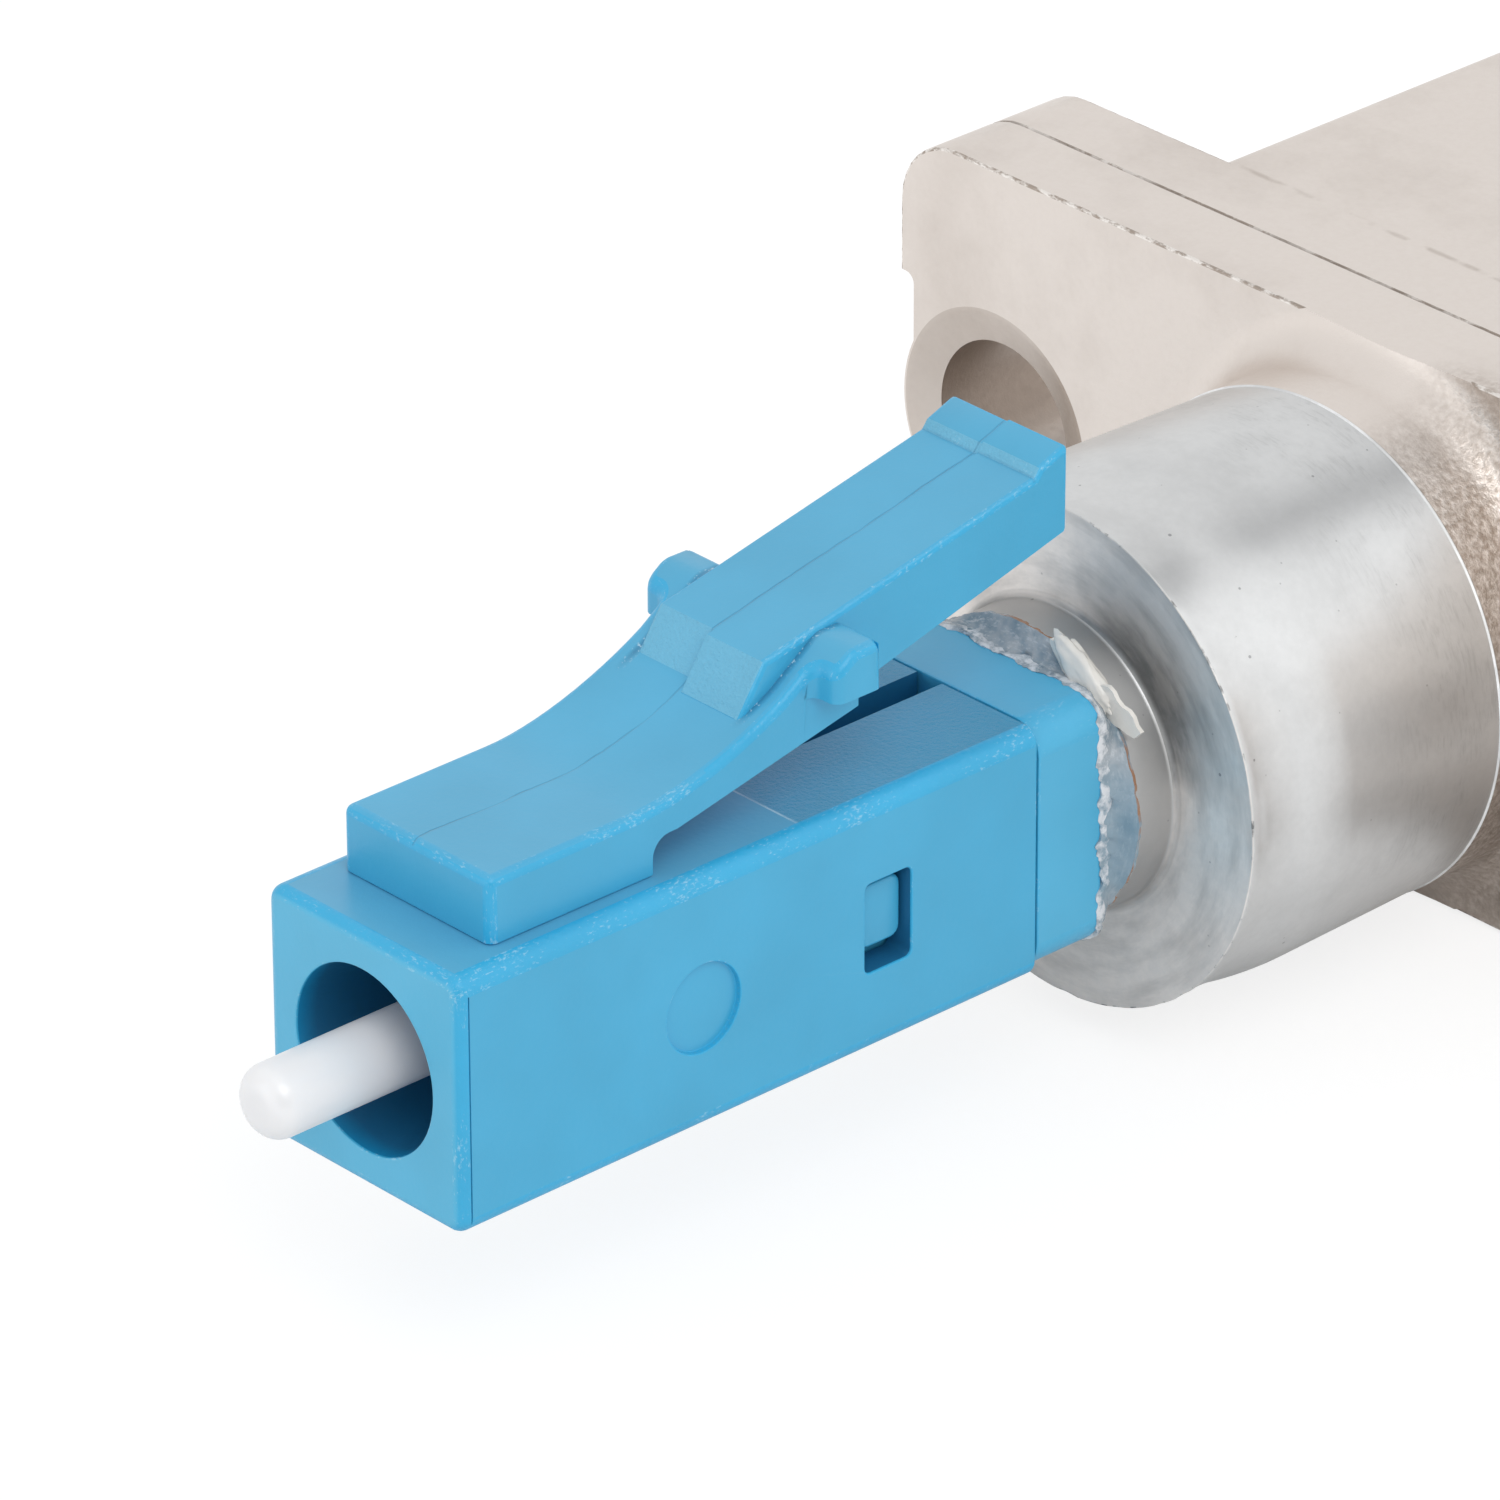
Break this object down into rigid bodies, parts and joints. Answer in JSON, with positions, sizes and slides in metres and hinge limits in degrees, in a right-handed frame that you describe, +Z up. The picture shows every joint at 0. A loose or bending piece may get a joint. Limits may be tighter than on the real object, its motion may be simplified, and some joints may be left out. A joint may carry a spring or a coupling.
{
  "type": "hybrid fibre adapter",
  "caption": "Hybrid fibre optic adapter: a latched plug with a ceramic ferrule on a metal collar, carried by a flanged rectangular metal socket for a larger connector.",
  "frame": {"origin": "on the optical axis, in the front face of the flange, midway between the two mounting holes", "axes": "+Y along the optical axis from plug to socket, +Z up towards the latch lever, X along the flange ears"},
  "size_m": [0.0232, 0.0396, 0.0113],
  "materials": {
    "blue_plastic": "satin moulded plastic",
    "white_ceramic": "ground white ceramic",
    "nickel_brass": "nickel plated",
    "spring_steel": "drawn wire",
    "clear_coating": "coated fibre",
    "adhesive": "set adhesive, cloudy, ragged",
    "zinc_plate": "turned, bright zinc plate",
    "nickel_casting": "die casting, satin nickel plate",
    "insert_plastic": "moulded plastic"
  },
  "bodies": {
    "adapter_body": {"plug_housing": "blue_plastic", "plug_rear_body": "blue_plastic", "ferrule_spring": "spring_steel", "fibre": "clear_coating", "adhesive_bead": "adhesive", "collar": "zinc_plate", "front_flange": "nickel_casting", "socket_shell": "nickel_casting", "sleeve_holder": "insert_plastic", "split_sleeve": "white_ceramic", "socket_ferrule": "white_ceramic", "stub_holder": "nickel_brass"},
    "latch": {"latch_lever": "blue_plastic"},
    "floating_ferrule": {"plug_ferrule": "white_ceramic", "ferrule_holder": "nickel_brass"},
    "left_hook": {"hook_left": "insert_plastic"},
    "right_hook": {"hook_right": "insert_plastic"}
  },
  "joints": [
    {"name": "latch_press", "type": "hinge", "parent": "adapter_body", "child": "latch", "pos_m": [0, -0.01735, 0.00318], "axis": [-1, 0, 0], "range_deg": [0, 12], "stiffness_Nm_per_rad": 0.15},
    {"name": "ferrule_float", "type": "slide", "parent": "adapter_body", "child": "floating_ferrule", "axis": [0, 1, 0], "range_m": [0, 0.0005], "stiffness_N_per_m": 1600, "deforming": ["ferrule_spring"]},
    {"name": "hook_left_flex", "type": "hinge", "parent": "adapter_body", "child": "left_hook", "pos_m": [-0.00335, 0.00318, 0], "axis": [0, 0, 1], "range_deg": [0, 4], "stiffness_Nm_per_rad": 0.33},
    {"name": "hook_right_flex", "type": "hinge", "parent": "adapter_body", "child": "right_hook", "pos_m": [0.00335, 0.00318, 0], "axis": [0, 0, -1], "range_deg": [0, 4], "stiffness_Nm_per_rad": 0.33}
  ]
}
